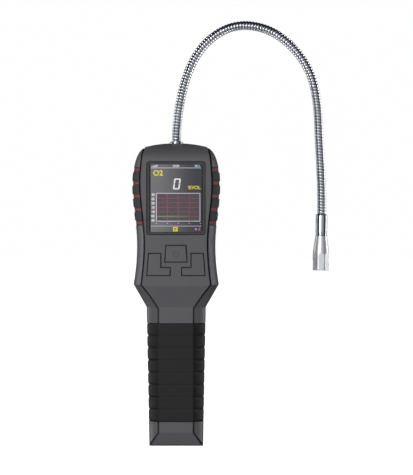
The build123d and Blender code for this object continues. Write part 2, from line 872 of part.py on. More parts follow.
# ------------------------------------------------------------------ leads inside the casing
def lead_between(points, radius):
    """A wire along straight runs joined by tangent arcs, each as large as its runs allow."""
    runs = [Vector(*b) - Vector(*a) for a, b in zip(points, points[1:])]
    bends = [
        0.45 * min(a.length, b.length) / tan(radians(a.get_angle(b)) / 2) for a, b in zip(runs, runs[1:])
    ]
    print("bend radii", [round(bend, 1) for bend in bends])
    with BuildPart() as lead:
        with BuildLine() as route:
            FilletPolyline(*points, radius=bends)
        with BuildSketch(Plane(origin=points[0], z_dir=route.line % 0)):
            Circle(radius)
        sweep()
    return lead.part


cradle_top = cell_top + 0.6 + fit + cradle_plate
battery_route = (
    (-5.0, 3.0, cradle_top + fit),
    (-5.0, 2.0, cradle_top + 9.0),
    (battery_plug[0], -board_front - 1.5, cradle_top + 20.0),
    (battery_plug[0], -board_front - 2.0, board_low + 0.5 - fit),
)
barrel_bottom = top_z - 0.6 - barrel_length
sensor_route = (
    (0.0, 0.0, barrel_bottom - 0.6),
    (0.0, 0.6, barrel_bottom - 9.0),
    (sensor_plug[0] - 1.0, 1.0, sensor_plug[1] + connector_height / 2 + 13.0),
    (sensor_plug[0], -board_back + 2.0, sensor_plug[1] + connector_height / 2 + 2 * fit),
)

with BuildPart() as battery_lead:
    add(lead_between(battery_route, lead_radius))
battery_lead.part.label = "battery_lead"
export_step(battery_lead.part, "parts/battery_lead.step")

with BuildPart() as sensor_lead:
    add(lead_between(sensor_route, lead_radius))
sensor_lead.part.label = "sensor_lead"
export_step(sensor_lead.part, "parts/sensor_lead.step")


# ------------------------------------------------------------------ buzzer and vibration motor
with BuildPart() as buzzer:
    with BuildSketch(Plane.XZ.offset(fit - inside_face)):
        with Locations((0, window_top - 14)):
            Circle(buzzer_radius)
            Circle(1.0, mode=Mode.SUBTRACT)
    extrude(amount=buzzer_height)
    with BuildSketch(Plane.XZ.offset(fit - inside_face + buzzer_height)):
        with Locations((0, window_top - 14)):
            Circle(buzzer_radius)
    extrude(amount=0.5)
buzzer.part.label = "buzzer"
export_step(buzzer.part, "parts/buzzer.step")

with BuildPart() as vibration_motor:
    with BuildSketch(Plane.XZ.offset(fit - inside_face)):
        with Locations((0, flare_z + 12)):
            Circle(motor_radius)
    extrude(amount=motor_height)
vibration_motor.part.label = "vibration_motor"
export_step(vibration_motor.part, "parts/vibration_motor.step")


# ------------------------------------------------------------------ charging port and its flap
socket_low = flap_thickness + 1.0

with BuildPart() as charge_socket:
    with BuildSketch(Plane.XY.offset(socket_low)):
        with Locations((port_offset, 0)):
            RectangleRounded(port_width, port_height, port_height / 2 - fit)
    extrude(amount=port_depth)
    with BuildSketch(Plane.XY.offset(socket_low)):
        with Locations((port_offset, 0)):
            RectangleRounded(port_width - 0.6, port_height - 0.6, (port_height - 0.6) / 2 - fit)
    extrude(amount=port_depth - 0.6, mode=Mode.SUBTRACT)
    with BuildSketch(Plane.XY.offset(socket_low + 1.4)):
        with Locations((port_offset, 0)):
            Rectangle(port_width - 2.6, 0.7)
    extrude(amount=port_depth - 1.6)
charge_socket.part.label = "charge_socket"
export_step(charge_socket.part, "parts/charge_socket.step")

with BuildPart() as charge_board:
    with BuildSketch(Plane.XZ.offset(-port_height / 2 - fit)):
        with Locations((port_offset / 2, inner_bay + 1)):
            Rectangle(port_offset + port_width, cell_rise - inner_bay - 4, align=(Align.CENTER, Align.MIN))
    extrude(amount=-1.2)
charge_board.part.label = "charge_board"
export_step(charge_board.part, "parts/charge_board.step")

hinge_x = port_offset - flap_length / 2 + flap_hinge
hinge_z = flap_thickness / 2

with BuildPart() as port_flap:
    with BuildSketch(Plane.XZ):
        with Locations((hinge_x, hinge_z)):
            Circle(flap_hinge)
        with Locations((hinge_x, 0)):
            Rectangle(flap_length - flap_hinge, flap_thickness, align=(Align.MIN, Align.MIN))
    extrude(amount=flap_width / 2, both=True)
    with BuildSketch(Plane.XY.offset(flap_thickness)):
        with Locations((port_offset, 0)):
            RectangleRounded(port_width - 1.2, port_height - 1.2, (port_height - 1.2) / 2 - fit)
    extrude(amount=2.0)
port_flap.part.label = "port_flap"
export_step(port_flap.part, "parts/port_flap.step")


# ------------------------------------------------------------------ neck gland
with BuildPart(Plane.XY.offset(top_z - 0.6 + fit)) as neck_collar:
    Cylinder(collar_radius, collar_height + 0.6, align=end_align)
    chamfer(neck_collar.edges().group_by(Axis.Z)[-1], length=0.5)
    with Locations((0, 0, -barrel_length)):
        Cylinder(barrel_radius, barrel_length, align=end_align)
    Cylinder(neck_radius + fit, 4 * barrel_length, mode=Mode.SUBTRACT)
neck_collar.part.label = "neck_collar"
export_step(neck_collar.part, "parts/neck_collar.step")

with BuildPart() as neck_nut:
    with BuildSketch(Plane.XY.offset(top_z - wall - nut_height - nut_drop)):
        RegularPolygon(nut_flats / 2, 6, major_radius=False)
        Circle(roof_hole, mode=Mode.SUBTRACT)
    extrude(amount=nut_height)
neck_nut.part.label = "neck_nut"
export_step(neck_nut.part, "parts/neck_nut.step")


# ------------------------------------------------------------------ neck
# The tube is drawn as straight links between ball stations. Each equal stretch of the real,
# curved tube turns by one of neck_turns, and its station is where the tangents at its ends meet.
stretch = neck_length / len(neck_turns)
heading = 90.0
point = Vector(0, 0, top_z)
stations = []
for turn in neck_turns:
    half_turn = radians(turn) / 2
    tangent = stretch / 2 * tan(half_turn) / half_turn
    corner = point + Vector(cos(radians(heading)), 0, sin(radians(heading))) * tangent
    heading -= turn
    point = corner + Vector(cos(radians(heading)), 0, sin(radians(heading))) * tangent
    stations.append(corner)
neck_end = point
probe_direction = Vector(cos(radians(heading)), 0, sin(radians(heading)))

# side-bending stations stand in the middle of their runs
ball_centres = []
for run, (a, b) in enumerate(zip(stations, stations[1:]), start=1):
    ball_centres.append(a)
    if run in side_bends:
        ball_centres.append((a + b) / 2)
ball_centres.append(stations[-1])


def neck_link(start, end, ball, socket):
    """Tube from start to end, with a ball about its start, a socket for the next ball, or both."""
    length = (end - start).length
    low = ball_gap if ball else 0.0
    high = length - ball_gap if socket else length
    with BuildPart(Plane(origin=start, x_dir=(0, 1, 0), z_dir=end - start)) as link:
        with Locations((0, 0, low)):
            Cylinder(neck_radius, high - low, align=end_align)
        if ball:
            Sphere(ball_radius)
        if socket:
            with Locations((0, 0, length)):
                Sphere(ball_radius + ball_clearance, mode=Mode.SUBTRACT)
        Cylinder(wire_bore, 4 * length, mode=Mode.SUBTRACT)
    return link.part


with BuildPart() as neck_root:
    add(neck_link(Vector(0, 0, barrel_bottom - 0.5), ball_centres[0], False, True))
neck_root.part.label = "neck_root"
export_step(neck_root.part, "parts/neck_root.step")

for number, (start, end) in enumerate(zip(ball_centres, ball_centres[1:]), start=1):
    with BuildPart() as link:
        add(neck_link(start, end, True, True))
    link.part.label = f"neck_link_{number:02d}"
    export_step(link.part, f"parts/neck_link_{number:02d}.step")

neck_tail_end = neck_end + probe_direction * (ferrule_grip - fit)

with BuildPart() as neck_tail:
    add(neck_link(ball_centres[-1], neck_tail_end, True, False))
neck_tail.part.label = "neck_tail"
export_step(neck_tail.part, "parts/neck_tail.step")


# ------------------------------------------------------------------ probe
# drawn along its own axis, z running from the ferrule's mouth to the gas inlet
probe_plane = Plane(origin=neck_end, x_dir=(0, 1, 0), z_dir=probe_direction)
cap_start = ferrule_length
cap_end = cap_start + cap_length
cone_end = cap_start + cap_cone
cavity_start = cap_start + spigot_length + 1.2
cavity_radius = cap_mouth_radius - cap_wall
ring_centre = cap_start + spigot_length / 2


def around_probe(*profile):
    """Closed half profile of (radius, length) points turned about the probe's axis."""
    with BuildPart(probe_plane) as turned:
        with BuildSketch(Plane(origin=probe_plane.origin, x_dir=probe_plane.x_dir, z_dir=-probe_plane.y_dir)):
            with BuildLine():
                Polyline(*profile, close=True)
            make_face()
        revolve(axis=Axis(probe_plane.origin, probe_plane.z_dir))
    return turned.part


with BuildPart() as ferrule:
    add(
        around_probe(
            (neck_radius + fit, 0),
            (ferrule_radius - 0.6, 0),
            (ferrule_radius - 0.15, 0.5),
            (ferrule_radius, 1.2),
            (ferrule_radius, cap_start - 2.4),
            (ferrule_radius - 0.3, cap_start - 1.8),
            (ferrule_radius - 0.3, cap_start - 1.0),
            (ferrule_radius, cap_start - 0.5),
            (ferrule_radius, cap_start - fit),
            (spigot_radius, cap_start - fit),
            (spigot_radius, ring_centre - 0.6),
            (spigot_radius - 0.6, ring_centre - 0.6),
            (spigot_radius - 0.6, ring_centre + 0.6),
            (spigot_radius, ring_centre + 0.6),
            (spigot_radius, cap_start + spigot_length),
            (wire_bore, cap_start + spigot_length),
            (wire_bore, ferrule_grip),
            (neck_radius + fit, ferrule_grip),
        )
    )
ferrule.part.label = "ferrule"
export_step(ferrule.part, "parts/ferrule.step")

with BuildPart() as cap_ring:
    add(
        around_probe(
            (spigot_radius - 0.6 + fit, ring_centre - 0.5),
            (spigot_radius, ring_centre - 0.5),
            (spigot_radius, ring_centre + 0.5),
            (spigot_radius - 0.6 + fit, ring_centre + 0.5),
        )
    )
cap_ring.part.label = "cap_ring"
export_step(cap_ring.part, "parts/cap_ring.step")

with BuildPart() as sensor_cap:
    add(
        around_probe(
            (spigot_radius + fit, cap_start),
            (cap_top_radius, cap_start),
            (cap_mouth_radius, cone_end),
            (cap_mouth_radius, cap_end - 0.5),
            (cap_mouth_radius - 0.5, cap_end),
            (inlet_radius, cap_end),
            (inlet_radius, cap_end - inlet_lip),
            (cavity_radius, cap_end - inlet_lip),
            (cavity_radius, cone_end),
            (spigot_radius + fit, cavity_start),
        )
    )
    with Locations(probe_plane.offset(cone_end - 1.0)):
        with PolarLocations(cap_mouth_radius - flute_depth, flute_count):
            Box(2.0, 4.0, cap_length, align=(Align.MIN, Align.CENTER, Align.MIN), mode=Mode.SUBTRACT)
sensor_cap.part.label = "sensor_cap"
export_step(sensor_cap.part, "parts/sensor_cap.step")

mesh_start = cap_end - inlet_lip - mesh_thickness - fit
sensor_start = mesh_start - sensor_height - 0.4

with BuildPart(probe_plane) as filter_mesh:
    with Locations((0, 0, mesh_start)):
        Cylinder(cavity_radius - fit, mesh_thickness, align=end_align)
        for ring in range(1, 4):
            with PolarLocations(1.1 * ring, 6 * ring):
                Cylinder(0.3, 2 * mesh_thickness, align=end_align, mode=Mode.SUBTRACT)
filter_mesh.part.label = "filter_mesh"
export_step(filter_mesh.part, "parts/filter_mesh.step")

with BuildPart(probe_plane) as gas_sensor:
    with Locations((0, 0, sensor_start)):
        Cylinder(cell_face_radius, sensor_height, align=end_align)
gas_sensor.part.label = "gas_sensor"
export_step(gas_sensor.part, "parts/gas_sensor.step")

with BuildPart(probe_plane) as sensor_board:
    with Locations((0, 0, sensor_start - 1.2 - fit)):
        Cylinder(spigot_radius + 1.0, 1.2, align=end_align)
sensor_board.part.label = "sensor_board"
export_step(sensor_board.part, "parts/sensor_board.step")
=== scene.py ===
import json
import math

import bmesh
import bpy
import numpy as np
from mathutils import Matrix, Vector


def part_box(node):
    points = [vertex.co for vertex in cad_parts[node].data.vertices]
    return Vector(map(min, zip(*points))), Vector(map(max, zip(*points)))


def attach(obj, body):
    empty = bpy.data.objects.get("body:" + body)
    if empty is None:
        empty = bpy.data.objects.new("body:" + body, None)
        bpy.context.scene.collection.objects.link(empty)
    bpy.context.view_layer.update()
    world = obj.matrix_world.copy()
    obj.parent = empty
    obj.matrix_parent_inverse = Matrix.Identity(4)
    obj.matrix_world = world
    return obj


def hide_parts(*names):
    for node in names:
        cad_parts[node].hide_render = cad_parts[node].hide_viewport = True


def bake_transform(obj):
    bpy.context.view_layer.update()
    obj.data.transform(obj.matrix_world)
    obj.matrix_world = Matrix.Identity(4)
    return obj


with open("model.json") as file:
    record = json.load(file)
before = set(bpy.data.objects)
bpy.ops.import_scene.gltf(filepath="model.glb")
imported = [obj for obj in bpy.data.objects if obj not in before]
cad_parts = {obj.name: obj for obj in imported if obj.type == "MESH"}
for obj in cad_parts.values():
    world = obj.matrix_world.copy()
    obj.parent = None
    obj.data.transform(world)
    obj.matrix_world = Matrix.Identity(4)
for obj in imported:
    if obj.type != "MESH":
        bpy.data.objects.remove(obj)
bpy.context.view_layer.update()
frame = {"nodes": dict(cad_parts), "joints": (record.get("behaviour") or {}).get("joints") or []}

bl_info = {
    "name": "Portable gas detector looks",
    "version": (1, 0, 0),
    "blender": (4, 5, 0),
    "location": "View3D > Sidebar > Gas detector",
    "description": "Surfaces, gooseneck winding, screen picture and studio of a portable gas detector",
    "category": "Object",
}

MM = 0.001


def tint(code):
    """A colour as Blender keeps it, from the six-digit code that painters write it in."""
    parts = [int(code[k:k + 2], 16) / 255 for k in (0, 2, 4)]
    return tuple(p / 12.92 if p <= 0.04045 else ((p + 0.055) / 1.055) ** 2.4 for p in parts)


def opaque(colour, share=1.0):
    """A colour with its alpha, scaled by share."""
    return (colour[0] * share, colour[1] * share, colour[2] * share, 1.0)


# ---------------------------------------------------------------- shader maths

class Value:
    """One output of a node. Arithmetic on it adds Math nodes."""

    def __init__(self, graph, socket):
        self.graph = graph
        self.socket = socket

    def maths(self, operation, *others):
        """The result of a Math node on this value and the others."""
        values = dict(enumerate((self,) + others))
        return self.graph.node("ShaderNodeMath", {"operation": operation}, values)

    def __add__(self, other):
        return self.maths("ADD", other)

    def __sub__(self, other):
        return self.maths("SUBTRACT", other)

    def __rsub__(self, other):
        return self.graph.node("ShaderNodeMath", {"operation": "SUBTRACT"}, {0: other, 1: self})

    def __mul__(self, other):
        return self.maths("MULTIPLY", other)

    def __truediv__(self, other):
        return self.maths("DIVIDE", other)

    __radd__ = __add__
    __rmul__ = __mul__


class Graph:
    """The nodes of one material or of the world."""

    def __init__(self, block):
        block.use_nodes = True
        self.block = block
        self.tree = block.node_tree
        self.tree.nodes.clear()

    def node(self, kind, settings=None, sockets=None, output=0):
        """Adds a node, sets its settings, then gives each named socket a value or a link."""
        new = self.tree.nodes.new(kind)
        for key, value in (settings or {}).items():
            setattr(new, key, value)
        for key, value in (sockets or {}).items():
            if isinstance(value, Value):
                self.tree.links.new(value.socket, new.inputs[key])
            else:
                new.inputs[key].default_value = value
        return Value(self, new.outputs[output]) if len(new.outputs) else None

    def place(self):
        """The shaded point in the object's own frame."""
        return self.node("ShaderNodeTexCoord", output="Object")

    def axis(self, name):
        """The x, y or z of the shaded point, in millimetres."""
        return self.node("ShaderNodeSeparateXYZ", {}, {0: self.place()}, name) * 1000.0

    def noise(self, grain, detail=2.0, stretch=(1.0, 1.0, 1.0)):
        """Noise from 0 to 1 whose lumps are about grain millimetres across, drawn out by stretch."""
        spread = self.node("ShaderNodeMapping", {}, {"Vector": self.place(), "Scale": stretch})
        sockets = {"Vector": spread, "Scale": 1000.0 / grain, "Detail": detail}
        return self.node("ShaderNodeTexNoise", {}, sockets)

    def mix(self, share, first, second):
        """The first colour where share is 0 and the second where it is 1."""
        return self.node("ShaderNodeMix", {"data_type": "RGBA"}, {0: share, 6: first, 7: second}, 2)

    def fade(self, value, low, high, start=0.0, end=1.0):
        """Start below low, end above high, and a smooth step between them."""
        ends = {"Value": value, "From Min": low, "From Max": high, "To Min": start, "To Max": end}
        return self.node("ShaderNodeMapRange", {"interpolation_type": "SMOOTHSTEP"}, ends)

    def stripe(self, value, centre, half, soft):
        """1 within half of centre, falling to 0 over soft."""
        return self.fade((value - centre).maths("ABSOLUTE"), half, half + soft, 1.0, 0.0)

    def rounded(self, radius):
        """The normal of the same shape with its edges rounded to radius millimetres."""
        return self.node("ShaderNodeBevel", {"samples": 6}, {"Radius": radius * MM})

    def edge(self, rounded):
        """0 on flat faces, rising on edges: one less the cosine between the rounded and the flat normal."""
        flat = self.node("ShaderNodeNewGeometry", output="True Normal")
        dot = {"operation": "DOT_PRODUCT"}
        cosine = self.node("ShaderNodeVectorMath", dot, {0: rounded, 1: flat}, "Value")
        return self.fade(1.0 - cosine, 0.02, 0.3)

    def corner(self, reach):
        """1 in the open, falling towards 0 where walls stand within reach millimetres; it masks the painted
        shade in corners.
        """
        return self.node("ShaderNodeAmbientOcclusion", {"samples": 8}, {"Distance": reach * MM}, "AO")

    def bump(self, height, depth, normal=None):
        """The normal of a surface raised by height times depth millimetres."""
        sockets = {"Strength": 1.0, "Distance": depth * MM, "Height": height}
        if normal is not None:
            sockets["Normal"] = normal
        return self.node("ShaderNodeBump", {}, sockets)

    def surface(self, sockets):
        """Ends the material with a shader that has these sockets, and returns the material."""
        shader = self.node("ShaderNodeBsdfPrincipled", {}, sockets)
        self.node("ShaderNodeOutputMaterial", {}, {"Surface": shader})
        return self.block


def material(name):
    """The empty graph of a new material."""
    return Graph(bpy.data.materials.new(name))


def moulded(name, colour, grain, depth, roughness, edge_radius, coat=0.0, marks=None):
    """Moulded plastic or rubber: spark grain, faint cloudiness, paler edges that are partly wear and partly a
    painted sheen, and painted shade that darkens the corners.
    Marks, if given, returns the colour with its printed marks or painted shade, from the graph and the colour
    so far."""
    g = material(name)
    cloud = g.noise(9.0, 3.0)
    fine = g.noise(grain, 2.0)
    rounded = g.rounded(edge_radius)
    wear_and_sheen = g.edge(rounded)
    shade = g.mix(cloud, opaque(colour, 0.93), opaque(colour, 1.07))
    # Paler edges, partly wear and partly a painted sheen.
    shade = g.mix(wear_and_sheen * (0.25 + 0.3 * cloud), shade, opaque(colour, 1.9))
    # Painted shade: darker in corners and grooves, where walls stand within 2.2 mm.
    shade = g.mix(g.fade(g.corner(2.2), 0.25, 0.8, 0.75, 0.0), shade, opaque(colour, 0.12))
    if marks:
        shade = marks(g, shade)
    return g.surface({
        "Base Color": shade,
        "Roughness": roughness - 0.06 + 0.12 * fine,
        "Normal": g.bump(fine, depth, rounded),
        "Coat Weight": coat,
        "Coat Roughness": 0.3,
        "Specular IOR Level": 0.3,
    })


def polished(name, colour, roughness, grain, stretch=(1.0, 1.0, 1.0), scratch=0.0, edge_radius=0.15,
             bare=1.0):
    """Bare or plated metal: smudges in its roughness, fine lines drawn out by stretch, painted shade that
    dulls its corners.
    Bare is below 1 for a milky, blasted or lacquered surface."""
    g = material(name)
    smudge = g.noise(4.0, 4.0)
    lines = g.noise(grain, 3.0, stretch)
    # Painted shade: darker in corners, where walls stand within 0.9 mm.
    shade = g.mix(g.fade(g.corner(0.9), 0.15, 0.8, 0.85, 0.0), opaque(colour), opaque(colour, 0.1))
    sockets = {
        "Base Color": shade,
        "Metallic": bare,
        "Roughness": roughness * (0.7 + 0.6 * smudge),
        "Normal": g.bump(lines, scratch, g.rounded(edge_radius)),
    }
    return g.surface(sockets)


# ---------------------------------------------------------------- shapes

def skin(name, points, faces, materials):
    """A smooth-shaded mesh object at the origin."""
    mesh = bpy.data.meshes.new(name)
    mesh.from_pydata(points.reshape(-1, 3).tolist(), [], faces)
    mesh.shade_smooth()
    for one in materials:
        mesh.materials.append(one)
    piece = bpy.data.objects.new(name, mesh)
    bpy.context.scene.collection.objects.link(piece)
    return piece


def closed_tube(name, rings, materials):
    """A skin over rings of points: a quad between neighbours, and a fan from the middle of each end ring."""
    count, around = rings.shape[:2]
    here = np.arange(around)
    there = (here + 1) % around
    row = np.arange(count - 1)[:, None] * around
    quads = np.stack([row + here, row + there, row + around + there, row + around + here], -1).reshape(-1, 4)
    first, last = count * around, count * around + 1
    top = (count - 1) * around
    foot_fan = np.stack([there, here, np.full(around, first)], -1)
    head_fan = np.stack([top + here, top + there, np.full(around, last)], -1)
    middles = np.stack([rings[0].mean(0), rings[-1].mean(0)])
    points = np.concatenate([rings.reshape(-1, 3), middles])
    return skin(name, points, quads.tolist() + foot_fan.tolist() + head_fan.tolist(), materials)


def smooth_line(controls, spacing):
    """Points every spacing along the uniform quadratic B-spline of these controls. Round each control p
    the line is (1-t)^2 a + 2t(1-t) p + t^2 b, where a and b are the middles of the two runs at p."""
    controls = np.array(controls)
    middles = (controls[1:] + controls[:-1]) / 2
    t = np.linspace(0, 1, 64, endpoint=False)[None, :, None]
    spans = (1 - t) ** 2 * middles[:-1, None]
    spans = spans + 2 * t * (1 - t) * controls[1:-1, None]
    spans = spans + t**2 * middles[1:, None]
    line = np.concatenate([controls[:1], spans.reshape(-1, 3), middles[-1:], controls[-1:]])
    along = np.concatenate([[0.0], np.cumsum(np.linalg.norm(np.diff(line, axis=0), axis=1))])
    stops = np.linspace(0, along[-1], int(round(along[-1] / spacing)) + 1)
    return stops, np.stack([np.interp(stops, along, line[:, k]) for k in range(3)], 1)


def wound_rings(stops, line, radius, pitch, groove, around):
    """Rings of a wound tube whose middle line lies in one plane: the radius falls by groove between turns, as
    radius - groove (1 - cos(2 pi t)) / 2, and t is how far a turn has climbed, by pitch for each lap."""
    tangent = np.gradient(line, axis=0)
    tangent /= np.linalg.norm(tangent, axis=1)[:, None]
    side = np.array([0.0, 1.0, 0.0])
    normal = np.cross(side, tangent)
    angle = np.linspace(0, 2 * np.pi, around, endpoint=False)
    turn = 2 * np.pi * stops[:, None] / pitch + angle[None, :]
    fall = (1 - np.cos(turn)) / 2
    reach = (radius - groove * fall)[..., None]
    outward = np.cos(angle)[None, :, None] * normal[:, None] + np.sin(angle)[None, :, None] * side
    return line[:, None] + reach * outward, fall


def closed_ring(name, rings, materials):
    """A skin over rings of points that also joins the last ring to the first, as on a sleeve with a wall."""
    count, around = rings.shape[:2]
    here = np.arange(around)
    there = (here + 1) % around
    row = np.arange(count)[:, None] * around
    above = (row + around) % (count * around)
    quads = np.stack([row + here, row + there, above + there, above + here], -1).reshape(-1, 4)
    return skin(name, rings, quads.tolist(), materials)


def grip_rings(low, high, plate, foot_bevel, throat_bevel, length, side_edge, ribs, notch, wall):
    """Rings of the ribbed sleeve, worked out in millimetres. A quarter of its section is the flat face to
    x = plate, then the bevel x = plate + bevel (1 - run^1.7), where run goes from 0 to 1 between side_edge
    and the face's depth, then the flat side. Each rib falls away towards its ends as
    notch (1 - sqrt(1 - v^5)), v from -1 to 1 along it, fully at the sides and a fifth as much on the faces.
    The inner wall follows the same section."""
    depth = -low.y / MM
    run = np.linspace(0, 1, 15)
    down_side = np.array([0.6, 0.3, 0.0])
    on_plate = np.concatenate([np.linspace(0, 0.94, 6), np.ones(15), np.ones(3)])
    on_bevel = np.concatenate([np.zeros(6), 1 - run[::-1] ** 1.7, np.ones(3)])
    deep_bevel = side_edge + (depth - side_edge) * run[::-1]
    deep = np.concatenate([np.full(6, depth), deep_bevel, side_edge * down_side])
    share = 0.2 + 0.8 * np.clip(on_bevel * 4, 0, 1)
    quarter = np.stack([on_plate, on_bevel, deep, share])
    flipped = quarter[:, -2:0:-1]
    side = np.array([1.0, 1.0, -1.0, 1.0])[:, None]
    half = np.concatenate([quarter, flipped[:, :1] * side, flipped[:, 1:] * side, quarter[:, :1] * side], 1)
    other = half[:, -2:0:-1]
    section = np.concatenate([half, other], 1)
    sign = np.concatenate([np.ones(half.shape[1]), -np.ones(other.shape[1])])
    rings_a_rib = 26
    z = np.linspace(low.z, high.z, ribs * rings_a_rib + 1) / MM
    place = (z - z[0]) / (z[-1] - z[0]) * ribs
    v = 2 * (place % 1.0) - 1
    v[-1] = 1.0
    fall = notch * (1 - np.sqrt(1 - np.abs(v) ** 5))
    bevel = foot_bevel + (throat_bevel - foot_bevel) * z / length
    x = sign * (plate * section[0] + bevel[:, None] * section[1])
    y = np.broadcast_to(-section[2], x.shape)
    reach = np.hypot(x, y)
    outer = 1 - fall[:, None] * section[3] / reach
    inner = (1 - wall / reach)[[-1, 0]]
    tall = np.broadcast_to(z[:, None], x.shape)
    outside = np.stack([x * outer, y * outer, tall], -1)
    inside = np.stack([x[[-1, 0]] * inner, y[[-1, 0]] * inner, tall[[-1, 0]]], -1)
    return np.concatenate([outside, inside]) * MM


def flat_boxes(boxes, depth):
    """Corners and faces of upright rectangles (x0, z0, x1, z1) that face -Y at y = depth, in millimetres."""
    x0, z0, x1, z1 = np.array(boxes, float).T
    corners = np.stack([[x0, z0], [x1, z0], [x1, z1], [x0, z1]], 0).transpose(2, 0, 1)
    points = np.stack([corners[..., 0], np.full(corners.shape[:2], depth), corners[..., 1]], -1)
    return points * MM, np.arange(4 * len(boxes)).reshape(-1, 4)


# ---------------------------------------------------------------- settings

def colour_setting(name, description, code):
    """A colour in the panel, from its six-digit code."""
    return bpy.props.FloatVectorProperty(
        name=name, description=description, subtype="COLOR", size=3, min=0.0, max=1.0, default=tint(code))


def length_setting(name, description, millimetres):
    """A length in the panel, given in millimetres."""
    return bpy.props.FloatProperty(
        name=name, description=description, subtype="DISTANCE", unit="LENGTH", min=0.0, precision=5,
        default=millimetres * MM)


class CasingSettings(bpy.types.PropertyGroup):
    grey: colour_setting("Casing grey", "Moulded covers and keys", "555356")
    rubber: colour_setting("Grip rubber", "Sleeve of the handle", "100e10")
    red: colour_setting("Band red", "Bands at the sides of the screen", "7c2f37")
    pad: colour_setting("Pad rubber", "Pads between the bands", "2a2c2b")
    edge: length_setting("Edge radius", "How round the moulded edges look", 0.45)
    face: length_setting("Half face", "Half the width of the handle's flat face", 12.75)
    notch: length_setting("Rib notch", "Depth between two ribs of the grip", 1.2)
    ribs: bpy.props.IntProperty(name="Ribs", description="Ribs along the grip", default=8, min=1)


class ScreenSettings(bpy.types.PropertyGroup):
    light_side: colour_setting("Picture, left", "Background of the picture at its left side", "78767a")
    dark_side: colour_setting("Picture, right", "Background of the picture at its right side", "36343a")
    yellow: colour_setting("Yellow ink", "Gas name and unit", "e8dc2c")
    white: colour_setting("White ink", "Reading and scale", "f2f2f4")
    lavender: colour_setting("Lavender ink", "Graph frame and signal bars", "ddd4ee")
    blue: colour_setting("Blue ink", "Battery sign", "9fd4f2")
    pink: colour_setting("Pink ink", "Sound sign", "e08ad0")
    green: colour_setting("Green ink", "Level of the graph", "3f9a55")
    grid: colour_setting("Grid ink", "Lines of the graph", "a84a60")
    plot: colour_setting("Plot ground", "Inside of the graph", "4c3f46")
    glow: bpy.props.FloatProperty(name="Glow", description="Brightness of the picture", default=1.0, min=0.0)


class NeckSettings(bpy.types.PropertyGroup):
    metal: colour_setting("Chrome", "Plating of the winding and the ferrule", "e6e8ee")
    silver: colour_setting("Satin silver", "Sensor cap", "cdcdd0")
    radius: length_setting("Radius", "Outside of the winding", 3.35)
    pitch: length_setting("Pitch", "Distance between two turns", 2.15)
    groove: length_setting("Groove", "Depth between two turns", 0.42)
    around: bpy.props.IntProperty(name="Sides", description="Points round the winding", default=40, min=12)


class StudioSettings(bpy.types.PropertyGroup):
    eye: bpy.props.FloatVectorProperty(
        name="Camera", description="Place of the camera", subtype="TRANSLATION", unit="LENGTH", size=3,
        default=(0.022, -1.5, 0.1515))
    lens: bpy.props.FloatProperty(
        name="Focal length", description="Of the camera, for a 36 mm sensor", default=155.7, min=1.0)
    paper: colour_setting("Backdrop", "Floor and background", "f4f4f4")
    power: bpy.props.FloatProperty(
        name="Light", description="Power of the main light", subtype="POWER", unit="POWER",
        default=16.0, min=0.0)
    front: bpy.props.FloatProperty(
        name="Sky", description="Strength of the surrounding light", default=0.8, min=0.0)


SETTINGS = (CasingSettings, ScreenSettings, NeckSettings, StudioSettings)


def paint(nodes, finish):
    """Gives CAD nodes a finish in place of the plain one that they came with."""
    for node in nodes:
        slots = frame["nodes"][node].data.materials
        for k in range(len(slots)):
            slots[k] = finish


# ---------------------------------------------------------------- operators

class GASDET_OT_casing(bpy.types.Operator):
    """Covers, seal, grip sleeve, side bands and pads"""
    bl_idname = "gasdet.casing"
    bl_label = "Casing"

    def execute(self, context):
        s = context.scene.gasdet_casing
        edge = s.edge / MM
        paint(("front_cover", "back_cover"), moulded("casing_paint", s.grey, 0.5, 0.03, 0.42, edge))
        soft_black = moulded("seal_paint", tint("151516"), 0.4, 0.02, 0.6, 0.2)
        paint(("cover_seal", "cap_ring", "port_flap"), soft_black)
        low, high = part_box("left_band")
        bands = 5
        band_height = 3.8
        pitch = ((high.z - low.z) / MM - band_height) / (bands - 1)
        first_middle = low.z / MM + band_height / 2

        def red_core(g, shade):
            """Brighter along the middle of each band."""
            steps = ((g.axis("Z") - first_middle) / pitch + 0.5).maths("FRACT") - 0.5
            core = g.stripe(steps * pitch, centre=0.0, half=0.45, soft=0.8)
            return g.mix(core, opaque(s.red, 0.16), shade)

        paint(("left_band", "right_band"), moulded("band_paint", s.red, 0.5, 0.02, 0.55, 0.25, 0.0, red_core))
        paint(("left_pads", "right_pads"), moulded("pad_paint", s.pad, 0.6, 0.05, 0.62, 0.3))

        def crease_shade(g, shade):
            """Painted shade: a darker line up each side of the flat face, along the crease where it turns
            into the bevel.
            """
            line = g.stripe(g.axis("X").maths("ABSOLUTE"), centre=13.2, half=0.4, soft=1.6)
            front = g.fade(g.axis("Y"), -13.0, -11.0, 1.0, 0.0)
            return g.mix(line * front * 0.85, shade, opaque(s.rubber, 0.15))

        # The sleeve's rubber carries painted shade along the creases of its flat face.
        rubber = moulded("sleeve_paint", s.rubber, 0.7, 0.05, 0.6, 0.2, 0.0, crease_shade)
        low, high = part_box("grip_sleeve")
        rings = grip_rings(low, high, plate=s.face / MM, foot_bevel=6.85, throat_bevel=8.8, length=101.0,
                           side_edge=6.0, ribs=s.ribs, notch=s.notch / MM, wall=1.95)
        sleeve = closed_ring("grip_skin", rings, [rubber])
        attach(sleeve, "casing")
        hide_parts("grip_sleeve")
        return {"FINISHED"}


